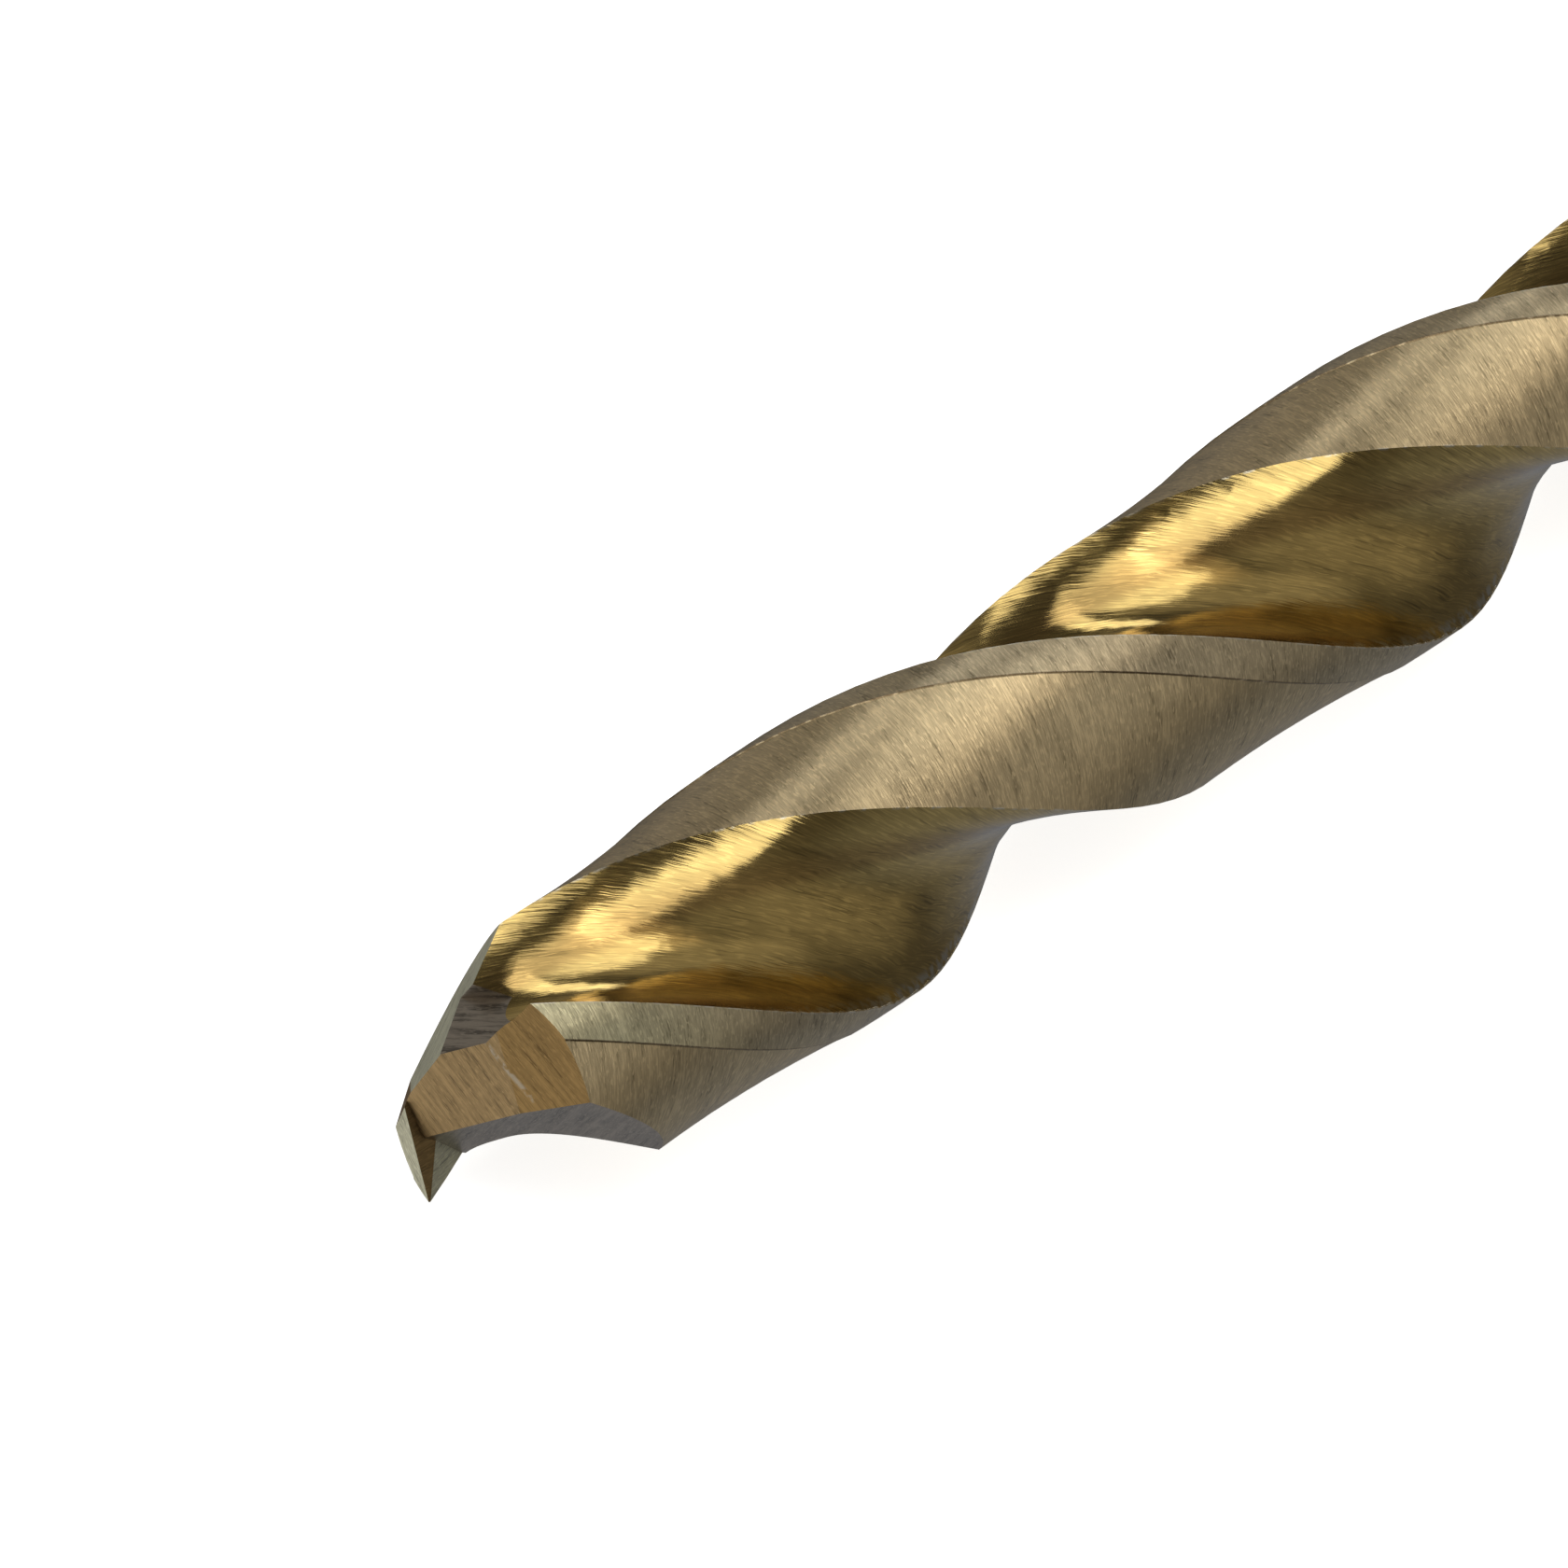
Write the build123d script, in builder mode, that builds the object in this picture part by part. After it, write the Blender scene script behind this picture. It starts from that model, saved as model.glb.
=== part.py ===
from build123d import *
from math import cos, radians, sin, tan, tau
import os

# Two-flute, extra-long end mill with right-hand cut and right-hand helix, in two pieces: the
# fluted head and the shank that it is welded to. The tool lies along X, with its cutting end
# at -X. The origin is on the axis at the front of the 45 mm that the holder grips, where the
# holder's face stands.

# ---- driving dimensions, mm and degrees ----
cut_dia = 12.0              # cutting diameter
shank_dia = 12.0            # shank diameter, h6
overall_length = 130.0
grip_length = 45.0          # the plain length that goes into the holder
weld_depth = 13.0           # from the front of that length to the weld between head and shank
helix_angle = 30.0
flute_length = 68.0         # flutes at full depth, from the end teeth
run_out_length = 14.0       # stretch over which the flutes climb out to the full diameter
first_tooth_angle = 108.0   # where tooth A's corner stands at the end, from +Y towards +Z
tip_rise = 1.1              # how far tooth B's corner stands in front of the other end teeth

# tooth section: shares of the cutting radius, and degrees behind the cutting edge
margin_angle = 18.0         # cylindrical land behind the edge
heel_angle = 83.0           # end of the relieved back
margin_ratio = 0.995
step_ratio = 0.986          # the relief starts at the foot of a small step behind the margin
step_angle = 0.6
relief_ratio = 0.915
core_ratio = 0.42

# shank details
flat_width = 8.0            # clamping flat, along the tool
flat_height = 10.4          # from the flat to the far side of the shank
flat_centre = 22.5          # from the shank's end face
end_chamfer = 0.8
centre_dia = 2.0            # centre hole in the shank's end face
centre_depth = 3.2
centre_mouth = 4.2          # diameter of its 60 degree countersink

# ---- values worked out from them ----
cut_radius = cut_dia / 2
shank_radius = shank_dia / 2
lead = tau * cut_radius / tan(radians(helix_angle))
tip_x = grip_length - overall_length
end_x = tip_x + tip_rise
run_out_x = end_x + flute_length
run_out_end = run_out_x + run_out_length


# ---- tooth section ----
def polar(ratio, angle):
    """A point of the tooth section: a share of the cutting radius, at an angle in degrees."""
    radius = ratio * cut_radius
    return (radius * cos(radians(angle)), radius * sin(radians(angle)))


def tooth_outline(edge):
    """Draw one tooth and the flute behind it, from its cutting edge to the next one."""
    margin_end = edge + margin_angle
    heel = edge + heel_angle
    ThreePointArc(polar(1, edge), polar(1, edge + margin_angle / 2), polar(margin_ratio, margin_end))
    step_foot = polar(step_ratio, margin_end + step_angle)
    Line(polar(margin_ratio, margin_end), step_foot)
    ThreePointArc(step_foot, polar(relief_ratio, (margin_end + heel) / 2), polar(relief_ratio, heel))
    Spline(
        polar(relief_ratio, heel),
        polar(0.54, edge + 103),
        polar(core_ratio, edge + 125),
        polar(0.43, edge + 147),
        polar(0.56, edge + 166),
        polar(0.78, edge + 177),
        polar(1, edge + 180),
    )


# ---- end teeth ----
# Points of the end are given in a frame of its own, as shares of the cutting radius: x towards
# the leading side of tooth A, y along tooth A's end edge away from the axis, z into the tool.
grind_angle = radians(first_tooth_angle + 24)
grind_frame = Plane(
    origin=(end_x, 0, 0),
    x_dir=(0, sin(grind_angle), -cos(grind_angle)),
    z_dir=(1, 0, 0),
)


def grind_plane(first, second, third, steel=(0, 0, 3)):
    """The plane through three points of the end, facing a fourth point that is left in steel."""
    start, across, along, inside = [
        grind_frame.from_local_coords(Vector(*point) * cut_radius)
        for point in (first, second, third, steel)
    ]
    normal = (across - start).cross(along - start)
    if normal.dot(inside - start) < 0:
        normal = -normal
    return Plane(origin=start, z_dir=normal)


def ground_away(*planes):
    """The stock in front of every one of the planes, as a solid to cut away."""
    with BuildPart() as stock:
        with Locations((end_x, 0, 0)):
            Box(4 * cut_radius, 4 * cut_radius, 4 * cut_radius)
        for plane in planes:
            split(bisect_by=plane, keep=Keep.BOTTOM)
    return stock.part


# end relief: two nearly flat facets that meet in a shallow ridge beside the axis
relief_a = grind_plane((0.35, 0.94, 0.07), (-0.34, 0.85, 0.10), (0.31, 0.36, -0.02))
relief_b = grind_plane((0.31, 0.36, 0), (-0.24, 0.43, 0), (0, -0.78, -0.03))
# steep facets that clear the back of each end tooth
back_a = grind_plane((-0.24, 0.43, 0), (-0.02, -0.78, 0), (-0.88, 0.20, 0.87))
back_b = grind_plane((0.41, -0.15, 0), (0.40, -0.80, 0.215), (0.90, -0.60, 1.08))
heel_b = grind_plane((0.32, -0.54, -0.05), (0.20, -0.92, -0.03), (0.41, -0.80, 0.21))
# the gash that gives tooth A its end edge
gash_floor = grind_plane((0.41, -0.15, 0), (0.65, -0.30, 0.49), (0.47, 0.10, 0.54))
gash_end = grind_plane((0.65, -0.30, 0.49), (0.42, 0.16, 0.57), (0.92, -0.21, 0.37))
gash_rake = grind_plane((0.37, 0.93, 0.07), (0.31, 0.36, 0), (0.17, 0.36, 0.5), steel=(0, 0.5, 0))
gash_inner = grind_plane((0.31, 0.36, 0), (0.41, -0.15, 0), (0.17, 0.36, 0.5), steel=(0, 0.5, 0))
# the spur that is left standing at tooth B's corner
spur_corner = (-0.378, -0.926, -0.183)
spur_wall = grind_plane((-0.02, -0.80, 0), (-0.21, -0.87, -0.10), (-0.19, -0.83, 0.12), steel=(0, -1, 0))
spur_rake = grind_plane(spur_corner, (-0.283, -0.959, 0.117), (-0.21, -0.85, -0.10), steel=(0.2, -0.9, 0))
spur_top = grind_plane(spur_corner, (0.41, -0.80, -0.03), (0, -0.60, -0.11))

end_cuts = [
    ground_away(relief_a, spur_wall),
    ground_away(relief_b, spur_wall),
    ground_away(back_a, spur_wall),
    ground_away(back_a, spur_rake),
    ground_away(back_b),
    ground_away(heel_b),
    ground_away(gash_floor, gash_end, gash_rake, gash_inner),
    ground_away(spur_top),
]

# ---- cutting head: high-speed steel ----
tip_plane = Plane(origin=(tip_x, 0, 0), x_dir=(0, 1, 0), z_dir=(1, 0, 0))
tip_turn = first_tooth_angle - 360 * tip_rise / lead
with BuildSketch(tip_plane) as tooth_section:
    with BuildLine():
        tooth_outline(tip_turn)
        tooth_outline(tip_turn + 180)
    make_face()

with BuildPart() as cutting_head:
    twisted_length = run_out_end - tip_x
    add(Solid.extrude_linear_with_rotation(
        tooth_section.sketch.face(),
        center=(tip_x, 0, 0),
        normal=(twisted_length, 0, 0),
        angle=360 * twisted_length / lead,
    ))
    # the flute floors climb out along the grinding wheel's radius, up to the plain rear end
    with BuildSketch(Plane.XZ):
        with BuildLine():
            floor_start = (run_out_x, 0.9 * core_ratio * cut_radius)
            TangentArc(floor_start, (run_out_end, cut_radius), tangent=(1, 0))
            Line((run_out_end, cut_radius), (weld_depth, cut_radius))
            Polyline((weld_depth, cut_radius), (weld_depth, 0), (run_out_x, 0), floor_start)
        make_face()
    revolve(axis=Axis.X)
    for cut in end_cuts:
        add(cut, mode=Mode.SUBTRACT)

# ---- shank: alloy steel, friction-welded to the head and ground to one diameter with it ----
with BuildPart() as shank:
    with BuildSketch(Plane.YZ.offset(weld_depth)):
        Circle(shank_radius)
    extrude(amount=grip_length - weld_depth)
    chamfer(shank.faces().sort_by(Axis.X)[-1].edges(), end_chamfer)
    with BuildSketch(Plane.XZ):
        flat_z = flat_height - shank_radius
        middle = grip_length - flat_centre
        slope = shank_radius - flat_z + 1
        with BuildLine():
            Polyline(
                (middle - flat_width / 2, flat_z),
                (middle + flat_width / 2, flat_z),
                (middle + flat_width / 2 + slope, flat_z + slope),
                (middle - flat_width / 2 - slope, flat_z + slope),
                close=True,
            )
        make_face()
    extrude(amount=shank_dia, both=True, mode=Mode.SUBTRACT)
    with Locations(Plane.YZ.offset(grip_length)):
        CounterSinkHole(centre_dia / 2, centre_mouth / 2, depth=centre_depth, counter_sink_angle=60)

# ---- write the pieces ----
os.makedirs("parts", exist_ok=True)
cutting_head.part.label = "cutting_head"
export_step(cutting_head.part, "parts/cutting_head.step")
shank.part.label = "shank"
export_step(shank.part, "parts/shank.step")
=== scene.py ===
import bpy
from math import cos, degrees, pi, radians, sin, tan
from mathutils import Matrix, Vector


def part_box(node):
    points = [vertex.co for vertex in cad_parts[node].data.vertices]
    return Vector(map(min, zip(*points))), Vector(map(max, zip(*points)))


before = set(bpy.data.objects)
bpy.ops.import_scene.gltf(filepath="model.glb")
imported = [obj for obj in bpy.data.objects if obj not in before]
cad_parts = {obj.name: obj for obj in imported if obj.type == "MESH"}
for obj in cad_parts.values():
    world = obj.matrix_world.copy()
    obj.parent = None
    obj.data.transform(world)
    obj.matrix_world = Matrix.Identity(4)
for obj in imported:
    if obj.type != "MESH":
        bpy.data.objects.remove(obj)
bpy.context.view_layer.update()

# ---- the tool as the frame has it: metres, along X, cutting end at -X ----
head_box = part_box("cutting_head")
shank_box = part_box("shank")
METRE = 1000                         # millimetres in one: the materials work in millimetres
radius = 6.0                         # cutting radius
tip_x = head_box[0].x * METRE
tip_rise = 1.1                       # from the frontmost tooth corner to the other end teeth
end_x = tip_x + tip_rise
weld_x = shank_box[0].x * METRE
shank_end_x = shank_box[1].x * METRE
run_out_x = end_x + 68.0             # where the flutes begin to climb out
helix_angle = radians(30)
lead = 2 * pi * radius / tan(helix_angle)
full_radius = radius * 0.998         # the plain rear end lies further out than this
first_tooth_angle = 108.0            # tooth A's corner at the end, from +Y towards +Z
facet_frame_angle = 24.0             # from that corner to the frame that the facets are given in
margin_angle = 18.3                  # degrees behind the cutting edge, as the next two
heel_angle = 83.0
tooth_pitch = 180.0
crease_shade_angle = 101.0                 # where painted shade darkens the flute along a crease at the heel's side
flute_profile = [                    # share of the radius at an angle behind the cutting edge
    (0.915, heel_angle), (0.54, 103), (0.42, 125), (0.43, 147), (0.56, 166), (0.78, 177), (1, tooth_pitch),
]


# ---- node expressions ----
class Signal:
    """A node's output that can be used in Python expressions."""

    def __init__(self, graph, socket):
        self.graph = graph
        self.socket = socket

    def __add__(self, other):
        return self.graph.math("ADD", self, other)

    def __sub__(self, other):
        return self.graph.math("SUBTRACT", self, other)

    def __rsub__(self, other):
        return self.graph.math("SUBTRACT", other, self)

    def __mul__(self, other):
        return self.graph.math("MULTIPLY", self, other)

    def __truediv__(self, other):
        return self.graph.math("DIVIDE", self, other)

    def __gt__(self, other):
        return self.graph.math("GREATER_THAN", self, other)

    def __lt__(self, other):
        return self.graph.math("LESS_THAN", self, other)

    __radd__ = __add__
    __rmul__ = __mul__


class Graph:
    """A node tree that is being wired up."""

    def __init__(self, tree):
        self.tree = tree
        self.shader = tree.nodes.get("Principled BSDF")

    def node(self, kind, inputs=(), **settings):
        made = self.tree.nodes.new(kind)
        for key, value in settings.items():
            setattr(made, key, value)
        for slot, value in dict(inputs).items():
            self.feed(made.inputs[slot], value)
        return made

    def feed(self, slot, value):
        if isinstance(value, Signal):
            self.tree.links.new(value.socket, slot)
        else:
            slot.default_value = value

    def math(self, operation, *values):
        made = self.node("ShaderNodeMath", enumerate(values), operation=operation)
        return Signal(self, made.outputs[0])

    def dot(self, first, second):
        made = self.node("ShaderNodeVectorMath", {0: first, 1: second}, operation="DOT_PRODUCT")
        return Signal(self, made.outputs["Value"])

    def vector(self, x, y, z):
        made = self.node("ShaderNodeCombineXYZ", {0: x, 1: y, 2: z})
        return Signal(self, made.outputs[0])

    def split(self, vector):
        made = self.node("ShaderNodeSeparateXYZ", {0: vector})
        return [Signal(self, out) for out in made.outputs]

    def scaled(self, vector, factor):
        made = self.node("ShaderNodeVectorMath", {0: vector, "Scale": factor}, operation="SCALE")
        return Signal(self, made.outputs[0])

    def mix(self, factor, first, second):
        """The first value where the factor is 0, the second where it is 1."""
        made = self.node("ShaderNodeMix", {0: factor, 2: first, 3: second}, data_type="FLOAT")
        return Signal(self, made.outputs[0])

    def mix_vector(self, factor, first, second):
        made = self.node("ShaderNodeMix", {0: factor, 4: first, 5: second}, data_type="VECTOR")
        return Signal(self, made.outputs[1])

    def mix_color(self, factor, first, second):
        made = self.node("ShaderNodeMix", {0: factor, 6: first, 7: second}, data_type="RGBA")
        return Signal(self, made.outputs[2])

    def ramp(self, value, low, high, at_low=0.0, at_high=1.0):
        """Goes smoothly from one value to another as the input goes from low to high."""
        made = self.node(
            "ShaderNodeMapRange",
            {0: value, 1: low, 2: high, 3: at_low, 4: at_high},
            interpolation_type="SMOOTHSTEP",
        )
        return Signal(self, made.outputs[0])

    def noise(self, place, detail=2.0, roughness=0.5):
        inputs = {"Vector": place, "Scale": 1.0, "Detail": detail, "Roughness": roughness}
        made = self.node("ShaderNodeTexNoise", inputs)
        return Signal(self, made.outputs[0])

    def either(self, *masks):
        total = masks[0]
        for mask in masks[1:]:
            total = self.math("MAXIMUM", total, mask)
        return total


def new_material(name):
    material = bpy.data.materials.new(name)
    material.use_nodes = True
    return material


# ---- colours ----
# the pale colour of the edge marks: worn bare steel, and on the head's edges also a painted highlight
bare_steel_and_highlight = (0.7, 0.66, 0.55, 1)
# the colour of a painted shadow at the foot of the step behind the margin
step_shadow_color = (0.13, 0.085, 0.04, 1)
heat_tint = (0.42, 0.18, 0.045, 1)
weld_tint = (0.2, 0.16, 0.12, 1)
land_color = (0.62, 0.495, 0.29, 1)
margin_color = (0.54, 0.45, 0.29, 1)
# a paler, greener margin colour near the end: a painted reflection
margin_end_reflection_color = (0.58, 0.54, 0.35, 1)
flute_color = (0.56, 0.405, 0.145, 1)
# painted shade for the crease at the heel's side of the flute
crease_shade_color = (0.3, 0.185, 0.065, 1)
neck_color = (0.44, 0.39, 0.3, 1)
body_color = (0.44, 0.4, 0.33, 1)
faced_color = (0.44, 0.41, 0.35, 1)
milled_color = (0.45, 0.42, 0.35, 1)
bronze = (0.37, 0.24, 0.095, 1)
light_bronze = (0.43, 0.3, 0.145, 1)
grey_steel = (0.33, 0.29, 0.24, 1)
pale_steel = (0.78, 0.78, 0.6, 1)
dark_brown = (0.17, 0.115, 0.05, 1)


# ---- what every ground surface shares ----
ALONG_TOOL = (1.0, 0.0, 0.0)
ANISOTROPY = 0.5
HAIR_WIDTH = 0.08                    # of the finest lines and the scuffs, in mm
BAND_WIDTH = 0.4                     # of the broader lines, in mm
BAND_RUN = 4                         # how long the broader lines are, against the finest
SCUFF_RUN = 0.4                      # and how long the scuffs are
DARK_TONE = 0.4                      # the darkest and the lightest line, as shares of the colour
LIGHT_TONE = 1.4
LAND_LINE_SPACING = 0.85             # under 1, the lands' lines are further apart than HAIR_WIDTH
FLUTE_LINE_SLOPE = 0.7               # under 1, the flutes' lines lie flatter than their turn


class Grind:
    """A way that a surface was ground: the places along and across its lines, in mm, and its look."""

    def __init__(self, along, across, stretch, color, roughness, run=1.0, depth=1.0, bands=0.5):
        self.along = along
        self.across = across
        self.stretch = stretch          # unit vector across the lines: the highlight spreads along it
        self.color = color
        self.roughness = roughness
        self.run = run                  # how long a line is, in mm
        self.depth = depth              # how deep the lines are, as a share of the bump's distance
        self.bands = bands              # how much the tone changes from one band of lines to the next


def blend_grinds(graph, base, zones):
    """One grind whose values change from zone to zone. Zones are (mask, Grind), the last one on top."""
    along, across, stretch = base.along, base.across, base.stretch
    color, roughness = base.color, base.roughness
    run, depth, bands = base.run, base.depth, base.bands
    for mask, grind in zones:
        along = graph.mix(mask, along, grind.along)
        across = graph.mix(mask, across, grind.across)
        stretch = graph.mix_vector(mask, stretch, grind.stretch)
        color = graph.mix_color(mask, color, grind.color)
        roughness = graph.mix(mask, roughness, grind.roughness)
        run = graph.mix(mask, run, grind.run)
        depth = graph.mix(mask, depth, grind.depth)
        bands = graph.mix(mask, bands, grind.bands)
    return Grind(along, across, stretch, color, roughness, run, depth, bands)


def finish_ground_steel(graph, place, grind, wear_and_highlight, depth):
    """Lays grinding lines, tone changes and edge wear over a grind and wires up the shader; on the head
    the pale edge marks are partly a painted highlight.
    """
    hair_place = graph.vector(grind.across / HAIR_WIDTH, grind.along / grind.run, 0.0)
    hair = graph.noise(hair_place, detail=2.0, roughness=0.7)
    line_place = graph.vector(grind.across / BAND_WIDTH, grind.along / (grind.run * BAND_RUN), 4.0)
    line = graph.noise(line_place, detail=2.0)
    scuff_place = graph.vector(grind.across / HAIR_WIDTH, grind.along / (grind.run * SCUFF_RUN), 9.0)
    scuff = graph.noise(scuff_place, detail=1.0)
    patch = graph.noise(graph.scaled(place, 0.5), detail=3.0, roughness=0.6)
    tone = (hair - 0.5) * 1.3 + (line - 0.5) * grind.bands * 1.6 + (patch - 0.5) * 0.5
    dark = graph.scaled(grind.color, DARK_TONE)
    light = graph.scaled(grind.color, LIGHT_TONE)
    color = graph.mix_color(graph.ramp(tone, -0.04, -0.42, 0.0, 0.8), grind.color, dark)
    color = graph.mix_color(graph.ramp(tone, 0.0, 0.3, 0.0, 0.8), color, light)
    color = graph.mix_color(graph.ramp(scuff, 0.55, 0.66, 0.0, 0.8), color, light)
    color = graph.mix_color(wear_and_highlight, color, bare_steel_and_highlight)
    graph.feed(graph.shader.inputs["Base Color"], color)
    roughness = grind.roughness + (hair - 0.5) * 0.12 + (patch - 0.5) * 0.1 + wear_and_highlight * 0.06
    graph.feed(graph.shader.inputs["Roughness"], roughness)
    graph.shader.inputs["Metallic"].default_value = 1.0
    graph.shader.inputs["Anisotropic"].default_value = ANISOTROPY
    graph.feed(graph.shader.inputs["Tangent"], grind.stretch)
    height = (hair * 0.7 + line * 0.9 + scuff * 0.3) * grind.depth
    bump = graph.node("ShaderNodeBump", {"Height": height, "Distance": depth, "Strength": 1.0})
    graph.feed(graph.shader.inputs["Normal"], Signal(graph, bump.outputs[0]))


# ---- end facets, as the part has them: shares of the radius in the grinding frame ----
grind_turn = radians(first_tooth_angle + facet_frame_angle)
facet_right = Vector((0, sin(grind_turn), -cos(grind_turn)))
facet_up = Vector((0, cos(grind_turn), sin(grind_turn)))
facet_in = Vector((1, 0, 0))


def end_point(right, up, inward):
    """A point of the tool's end, in mm, from shares of the cutting radius."""
    return Vector((end_x, 0, 0)) + (facet_right * right + facet_up * up + facet_in * inward) * radius


end_facets = {
    "relief_a": ((0.35, 0.94, 0.07), (-0.34, 0.85, 0.10), (0.31, 0.36, -0.02)),
    "relief_b": ((0.31, 0.36, 0), (-0.24, 0.43, 0), (0, -0.78, -0.03)),
    "back_a": ((-0.24, 0.43, 0), (-0.02, -0.78, 0), (-0.88, 0.20, 0.87)),
    "back_b": ((0.41, -0.15, 0), (0.40, -0.80, 0.215), (0.90, -0.60, 1.08)),
    "heel_b": ((0.32, -0.54, -0.05), (0.20, -0.92, -0.03), (0.41, -0.80, 0.21)),
    "gash_floor": ((0.41, -0.15, 0), (0.65, -0.30, 0.49), (0.47, 0.10, 0.54)),
    "gash_end": ((0.65, -0.30, 0.49), (0.42, 0.16, 0.57), (0.92, -0.21, 0.37)),
    "gash_rake": ((0.37, 0.93, 0.07), (0.31, 0.36, 0), (0.17, 0.36, 0.5)),
    "gash_inner": ((0.31, 0.36, 0), (0.41, -0.15, 0), (0.17, 0.36, 0.5)),
    "spur_wall": ((-0.02, -0.80, 0), (-0.21, -0.87, -0.10), (-0.19, -0.83, 0.12)),
    "spur_rake": ((-0.378, -0.926, -0.183), (-0.283, -0.959, 0.117), (-0.21, -0.85, -0.10)),
    "spur_top": ((-0.378, -0.926, -0.183), (0.41, -0.80, -0.03), (0, -0.60, -0.11)),
}
# the colour of each facet, its roughness, the way its lines run, and how strongly they are banded
relief_way = facet_right - facet_up * 0.1
gash_way = facet_right * 0.41 - facet_up * 0.91 - facet_in * 0.11
facet_looks = {
    "relief_a": (bronze, 0.32, relief_way, 0.9),
    "relief_b": (light_bronze, 0.36, relief_way, 0.8),
    "back_a": (grey_steel, 0.42, facet_up + facet_right * 0.4, 0.8),
    "back_b": (pale_steel, 0.4, facet_in + facet_right * 0.4, 0.6),
    "heel_b": (bronze, 0.36, facet_right, 0.6),
    "gash_floor": (grey_steel, 0.34, gash_way, 2.4),
    "gash_end": (grey_steel, 0.34, gash_way, 2.4),
    "gash_rake": (grey_steel, 0.34, gash_way, 2.4),
    "gash_inner": (grey_steel, 0.34, gash_way, 2.4),
    "spur_wall": (dark_brown, 0.4, facet_in, 1.2),
    "spur_rake": (pale_steel, 0.4, facet_in, 0.6),
    "spur_top": (pale_steel, 0.4, facet_right, 0.6),
}
FACET_DEPTH = 0.02                   # how far off its plane a point may be, in mm
FACET_TURN = 0.9995                  # and how well its normal has to agree
FACET_LINE_SPACING = 1.4             # how much closer together its lines are than on a plain grind
facet_reach = end_x + 8              # the end facets lie in front of this


def facet_zone(graph, place, normal, name):
    """The mask of one end facet and its grind."""
    first, second, third = [end_point(*point) for point in end_facets[name]]
    facing = (second - first).cross(third - first).normalized()
    color, roughness, way, bands = facet_looks[name]
    lines = (way - facing * way.dot(facing)).normalized()
    spread = facing.cross(lines)
    offset = graph.math("ABSOLUTE", graph.dot(place, tuple(facing)) - facing.dot(first))
    agreement = graph.math("ABSOLUTE", graph.dot(normal, tuple(facing)))
    mask = (offset < FACET_DEPTH) * (agreement > FACET_TURN) * (graph.split(place)[0] < facet_reach)
    along = graph.dot(place, tuple(lines))
    across = graph.dot(place, tuple(spread)) * FACET_LINE_SPACING
    return mask, Grind(along, across, tuple(spread), color, roughness, run=1.0, depth=1.5, bands=bands)


def ridge_line(graph, place):
    """The mask of the low ridge where the two relief facets meet."""
    first, second = [end_point(*point) for point in end_facets["relief_b"][:2]]
    sideways = (second - first).cross(facet_in).normalized()
    offset = graph.math("ABSOLUTE", graph.dot(place, tuple(sideways)) - sideways.dot(first))
    depth = graph.math("ABSOLUTE", graph.split(place)[0] - end_x)
    return graph.ramp(offset, 0.2, 0.03, 0.0, 0.6) * (depth < 0.12)


def profile_length(graph, behind):
    """How far round the flute a place lies from the heel, in mm, from its angle behind the edge."""
    def point(ratio, angle):
        return Vector((cos(radians(angle)), sin(radians(angle)))) * ratio * radius

    total = 0.0
    for (ratio, angle), (next_ratio, next_angle) in zip(flute_profile, flute_profile[1:]):
        step = (point(next_ratio, next_angle) - point(ratio, angle)).length
        made = graph.node("ShaderNodeMapRange", {0: behind, 1: angle, 2: next_angle, 3: 0.0, 4: step})
        total = Signal(graph, made.outputs[0]) + total
    return total


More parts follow.
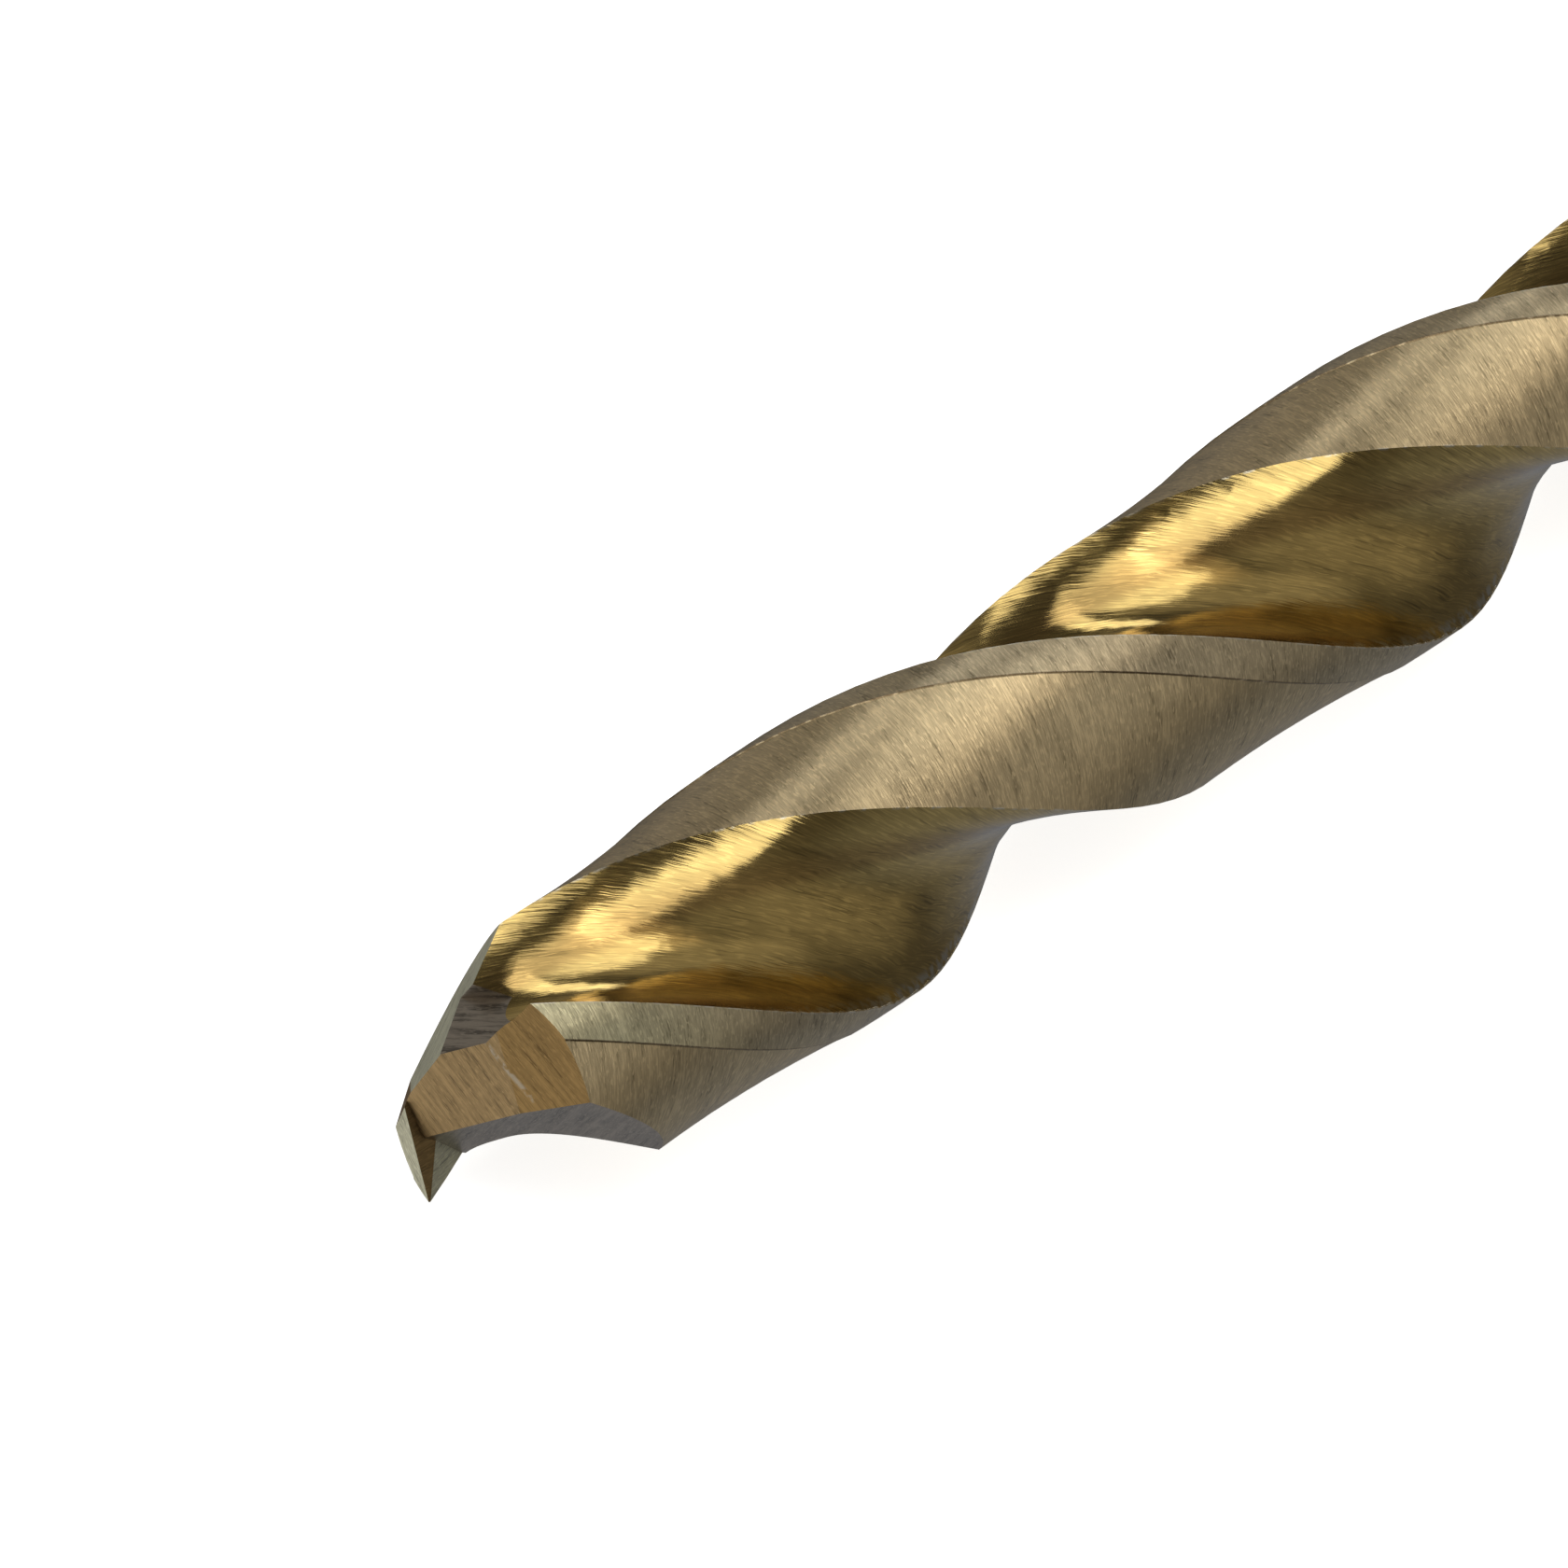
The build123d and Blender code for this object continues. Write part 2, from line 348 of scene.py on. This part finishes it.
def head_material():
    """Ground high-speed steel with a straw tint: flutes, relieved lands, margins and end facets."""
    material = new_material("ground_high_speed_steel")
    graph = Graph(material.node_tree)
    coordinates = graph.node("ShaderNodeTexCoord")
    place = graph.scaled(Signal(graph, coordinates.outputs["Object"]), METRE)
    normal = Signal(graph, coordinates.outputs["Normal"])
    x, y, z = graph.split(place)
    out = graph.math("SQRT", y * y + z * z)
    angle = graph.math("ARCTAN2", z, y) * degrees(1)
    untwisted = angle - first_tooth_angle - (x - end_x) * (360 / lead)
    behind = graph.math("FLOORED_MODULO", untwisted, tooth_pitch)
    round_way = graph.vector(0.0, 0.0 - z / out, y / out)
    arc = behind * radians(radius)

    # lands: lines run round the tool, leaning a little towards the end
    lean = radians(-11)
    land_along = arc * cos(lean) + x * (cos(lean) * tan(helix_angle) + sin(lean))
    land_across = (x * (cos(lean) - sin(lean) * tan(helix_angle)) - arc * sin(lean)) * LAND_LINE_SPACING
    land = Grind(land_along, land_across, ALONG_TOOL, land_color, 0.34, run=1.1, depth=4.0)
    # towards the end the margin's colour shifts to a painted reflection
    near_end = graph.ramp(x, end_x + 12, end_x + 1)
    margin_color_with_end_reflection = graph.mix_color(near_end, margin_color, margin_end_reflection_color)
    margin = Grind(land_along, land_across, ALONG_TOOL, margin_color_with_end_reflection, 0.34, run=0.8, depth=3.5)

    # flutes: lines cross the flute floor at a steeper angle than the helix
    flute_turn = radians(40)
    around = profile_length(graph, behind)
    flute_along = around * sin(flute_turn) + x * cos(flute_turn)
    flute_across = around * cos(flute_turn) - x * sin(flute_turn) * FLUTE_LINE_SLOPE
    flute_stretch = graph.node(
        "ShaderNodeVectorMath",
        {0: graph.scaled(round_way, cos(flute_turn)), 1: (-sin(flute_turn), 0, 0)},
        operation="ADD",
    )
    # painted shade: the flute darkens towards a crease near the heel
    crease_shade = graph.ramp(graph.math("ABSOLUTE", behind - crease_shade_angle), 12.0, 2.0, 0.0, 0.6)
    flute_tone = graph.mix_color(crease_shade, flute_color, crease_shade_color)
    stretch = Signal(graph, flute_stretch.outputs[0])
    flute = Grind(flute_along, flute_across, stretch, flute_tone, 0.1, run=2.2, depth=1.8)
    neck = Grind(angle * radians(radius), x, ALONG_TOOL, neck_color, 0.28, run=3.0, depth=0.6)

    plain_neck = (x > run_out_x) * (out > full_radius)
    zones = [(behind < margin_angle, margin), (behind > heel_angle, flute), (plain_neck, neck)]
    facet_zones = [facet_zone(graph, place, normal, name) for name in end_facets]
    grind = blend_grinds(graph, land, zones + facet_zones)

    # edges: a thin broken pale line along the cutting edge and the heel, partly worn bare steel and partly
    # a painted highlight
    ragged = graph.noise(graph.scaled(place, 2.2), detail=3.0)
    from_edge = graph.math("MINIMUM", behind, tooth_pitch - behind) * radians(radius)
    from_heel = graph.math("ABSOLUTE", behind - heel_angle) * radians(radius)
    edge_wear_and_highlight = graph.ramp(from_edge, 0.09, 0.02) * graph.ramp(ragged, 0.4, 0.6)
    heel_wear_and_highlight = graph.ramp(from_heel, 0.08, 0.02) * graph.ramp(ragged, 0.45, 0.65, 0.0, 0.7)
    fluted = 1.0 - graph.either(plain_neck, *[mask for mask, facet in facet_zones])
    # a pale line along the relief ridge: partly wear, partly a painted highlight
    ridge_wear_and_highlight = ridge_line(graph, place) * graph.ramp(ragged, 0.4, 0.55)
    wear_and_highlight = graph.either(graph.either(edge_wear_and_highlight, heel_wear_and_highlight) * fluted, ridge_wear_and_highlight)

    # a painted shadow darkens the foot of the step behind the margin, and the edge near the end is
    # heat-tinted
    from_step = graph.math("ABSOLUTE", behind - margin_angle) * radians(radius)
    step_shadow = graph.ramp(from_step, 0.07, 0.02) * graph.ramp(ragged, 0.3, 0.5, 0.2, 0.8) * fluted
    flute_side = (tooth_pitch - behind) * radians(radius)
    tint = graph.ramp(flute_side, 0.5, 0.05) * near_end * graph.ramp(ragged, 0.4, 0.62, 0.0, 0.8) * fluted
    grind.color = graph.mix_color(tint, grind.color, heat_tint)
    grind.color = graph.mix_color(step_shadow, grind.color, step_shadow_color)
    finish_ground_steel(graph, place, grind, wear_and_highlight, 0.000004)
    return material


def shank_material():
    """Cylindrically ground alloy steel: lines round the tool, and across the flat and the end."""
    material = new_material("ground_alloy_steel")
    graph = Graph(material.node_tree)
    coordinates = graph.node("ShaderNodeTexCoord")
    place = graph.scaled(Signal(graph, coordinates.outputs["Object"]), METRE)
    normal_x, normal_y, normal_z = graph.split(Signal(graph, coordinates.outputs["Normal"]))
    x, y, z = graph.split(place)
    out = graph.math("SQRT", y * y + z * z)
    angle = graph.math("ARCTAN2", z, y) * degrees(1)
    body = Grind(angle * radians(radius), x, ALONG_TOOL, body_color, 0.28, run=3.0, depth=1.0)
    faced = Grind(angle * radians(radius), out, (0.0, 0.7, 0.7), faced_color, 0.3, run=2.0, depth=1.5)
    milled = Grind(y, x, ALONG_TOOL, milled_color, 0.25, run=4.0, depth=1.5)
    flat = (normal_z > 0.6) * (z < radius * 0.999) * (out < radius * 0.999)
    grind = blend_grinds(graph, body, [(normal_x > 0.9, faced), (flat, milled)])
    ragged = graph.noise(graph.scaled(place, 1.8), detail=3.0)
    # on the shank the pale mark is only the chamfer's wear
    chamfer_wear = graph.ramp(x, shank_end_x - 0.9, shank_end_x - 0.75)
    wear_and_highlight = chamfer_wear * graph.ramp(ragged, 0.4, 0.6)
    weld_line = graph.ramp(x, weld_x + 0.12, weld_x + 0.02, 0.0, 0.5)
    grind.color = graph.mix_color(weld_line, grind.color, weld_tint)
    finish_ground_steel(graph, place, grind, wear_and_highlight * 0.6, 0.000002)
    return material


# ---- floor, light and camera ----
light_gain = 1.45                    # raises all the lights and the surroundings together
world_base = 0.055                   # how bright the surroundings are where nothing fills them
floor_glow = 0.85
light_target = Vector((end_x / METRE + 0.03, 0, 0))
camera_azimuth = -47.6               # of the picture's right-hand side, from +X
camera_elevation = 37.2
camera_lens = 870
camera_distance = 250                # in cutting radii, as the next two
aim_right = 1.970                    # from the end of the tool to the middle of the picture
aim_up = 2.079


def towards(azimuth, elevation):
    """The unit vector to a direction, in degrees: azimuth from +X, elevation above the floor."""
    turn, rise = radians(azimuth), radians(elevation)
    return Vector((cos(rise) * cos(turn), cos(rise) * sin(turn), sin(rise)))


def add_softbox(name, target, start, end, width, radiance):
    """An evenly bright strip from one place to another, in metres from the target that it faces."""
    middle = (Vector(start) + Vector(end)) / 2
    run = Vector(end) - Vector(start)
    lengthwise = run.normalized()
    away = (middle - lengthwise * middle.dot(lengthwise)).normalized()
    crosswise = lengthwise.cross(away)
    data = bpy.data.lights.new(name, "AREA")
    data.shape = "RECTANGLE"
    data.size = width
    data.size_y = run.length
    data.energy = light_gain * radiance * pi * width * run.length
    light = bpy.data.objects.new(name, data)
    light.rotation_mode = "QUATERNION"
    light.rotation_quaternion = Matrix((crosswise, lengthwise, away)).transposed().to_quaternion()
    light.location = target + middle
    light.visible_camera = False
    bpy.context.scene.collection.objects.link(light)


def add_lights(target):
    """A panel overhead, a strip out over the shank, one down in front, and a panel over the tip."""
    add_softbox("overhead_panel", target, (0.19, -0.62, 1.0), (0.33, 0.18, 1.0), 0.55, 0.82)
    add_softbox("right_strip", target, (0.14, 0.18, 1.0), (1.5, 1.2, 0.9), 0.12, 1.2)
    add_softbox("left_strip", target, (0.07, -0.4, 1.0), (-0.11, -1.25, -0.12), 0.23, 1.2)
    add_softbox("far_panel", target, (-0.49, -0.45, 1.0), (-0.15, 1.0, 1.0), 0.5, 1.1)


def add_world():
    """Dim surroundings with soft fills around the tool, a warm one high in front, cool from below."""
    world = bpy.data.worlds.new("studio")
    world.use_nodes = True
    graph = Graph(world.node_tree)
    coordinates = graph.node("ShaderNodeTexCoord")
    way = Signal(graph, coordinates.outputs["Generated"])
    height = graph.split(way)[2]
    low_front = graph.ramp(graph.dot(way, tuple(towards(-56, 6))), 0.68, 1.0, 0.0, 0.13)
    high_front = graph.ramp(graph.dot(way, tuple(towards(-62, 60))), 0.92, 0.995, 0.0, 0.34)
    under_behind = graph.ramp(graph.dot(way, tuple(towards(150, -35))), 0.4, 1.0, 0.0, 0.3)
    over_shank = graph.ramp(graph.dot(way, tuple(towards(-8, 46))), 0.86, 0.98, 0.0, 0.17)
    level_behind = graph.ramp(graph.dot(way, tuple(towards(68, 12))), 0.75, 1.0, 0.0, 0.13)
    below = graph.ramp(0.0 - height, 0.3, 0.9, 0.0, 0.11)
    strength = low_front + high_front + under_behind + over_shank + level_behind + world_base
    warm = graph.mix_color(high_front / strength, (1.0, 0.95, 0.88, 1), (1.0, 0.84, 0.66, 1))
    color = graph.mix_color(below / (strength + below), warm, (0.85, 0.93, 1.1, 1))
    background = world.node_tree.nodes["Background"]
    graph.feed(background.inputs["Color"], color)
    graph.feed(background.inputs["Strength"], (strength + below) * light_gain)
    bpy.context.scene.world = world


def add_floor():
    """A pale lit table that the tool lies on. It is kept out of the steel's reflections."""
    size = 6.0
    mesh = bpy.data.meshes.new("floor")
    low = head_box[0].z
    corners = [(-size, -size, low), (size, -size, low), (size, size, low), (-size, size, low)]
    mesh.from_pydata(corners, [], [(0, 1, 2, 3)])
    floor = bpy.data.objects.new("floor", mesh)
    bpy.context.scene.collection.objects.link(floor)
    material = new_material("lit_table")
    graph = Graph(material.node_tree)
    graph.shader.inputs["Base Color"].default_value = (0.9, 0.9, 0.9, 1)
    graph.shader.inputs["Roughness"].default_value = 0.9
    graph.shader.inputs["Specular IOR Level"].default_value = 0.0
    graph.shader.inputs["Emission Color"].default_value = (1, 1, 1, 1)
    graph.shader.inputs["Emission Strength"].default_value = floor_glow
    mesh.materials.append(material)
    floor.visible_glossy = False


def add_camera():
    """A long lens at the photo's angle, with the cutting end at the lower left."""
    azimuth, elevation = radians(camera_azimuth), radians(camera_elevation)
    right = Vector((cos(azimuth), sin(azimuth), 0))
    back = Vector((sin(azimuth) * cos(elevation), -cos(azimuth) * cos(elevation), sin(elevation)))
    up = back.cross(right)
    metre_radius = radius / METRE
    aim = Vector((end_x / METRE, 0, 0)) + (right * aim_right + up * aim_up) * metre_radius
    data = bpy.data.cameras.new("camera")
    data.sensor_width = 36
    data.lens = camera_lens
    data.clip_end = 20
    camera = bpy.data.objects.new("camera", data)
    camera.location = aim + back * camera_distance * metre_radius
    camera.rotation_mode = "QUATERNION"
    camera.rotation_quaternion = back.to_track_quat("Z", "Y")
    bpy.context.scene.collection.objects.link(camera)
    bpy.context.scene.camera = camera


def dress(node, material):
    """Gives a CAD node its material."""
    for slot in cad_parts[node].material_slots:
        slot.material = material


dress("cutting_head", head_material())
dress("shank", shank_material())
add_camera()
add_world()
add_floor()
add_lights(light_target)
bpy.context.scene.view_settings.view_transform = "Standard"
